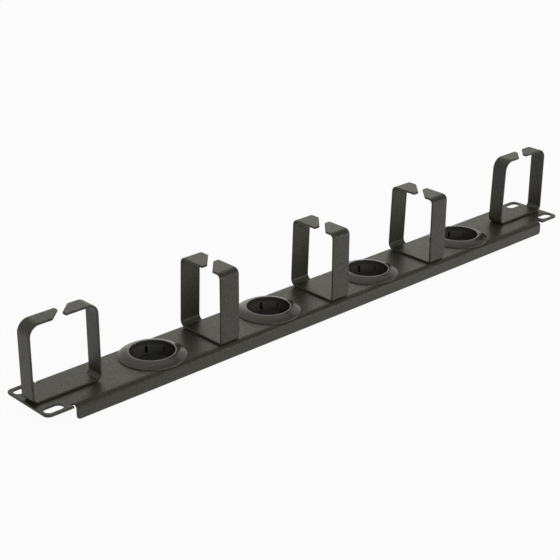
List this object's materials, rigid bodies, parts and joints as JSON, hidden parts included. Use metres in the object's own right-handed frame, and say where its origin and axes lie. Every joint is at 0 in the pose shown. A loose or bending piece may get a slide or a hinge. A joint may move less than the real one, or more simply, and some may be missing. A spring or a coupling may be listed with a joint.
{
  "type": "horizontal cable manager",
  "caption": "One-unit rack panel of folded steel with slotted ears, slit cable rings that stand on it, and snap-in grommets between them for routing patch cables.",
  "frame": {"origin": "centre of the four-slot rack pattern, on the rear face of the ears", "axes": "+X along the panel, left to right seen from the rack's front; +Y up the rack; +Z out of the rack's front, the way the rings stand"},
  "size_m": [0.4826, 0.044, 0.0615],
  "materials": {
    "powder_coat": "satin black powder coat with a fine texture",
    "grommet_plastic": "moulded black plastic, smooth"
  },
  "bodies": {
    "root": {"rack_panel": "powder_coat", "end_ring_left": "powder_coat", "ring_left": "powder_coat", "ring_middle": "powder_coat", "ring_right": "powder_coat", "end_ring_right": "powder_coat", "grommet_outer_left": "grommet_plastic", "grommet_inner_left": "grommet_plastic", "grommet_inner_right": "grommet_plastic", "grommet_outer_right": "grommet_plastic"}
  },
  "joints": []
}
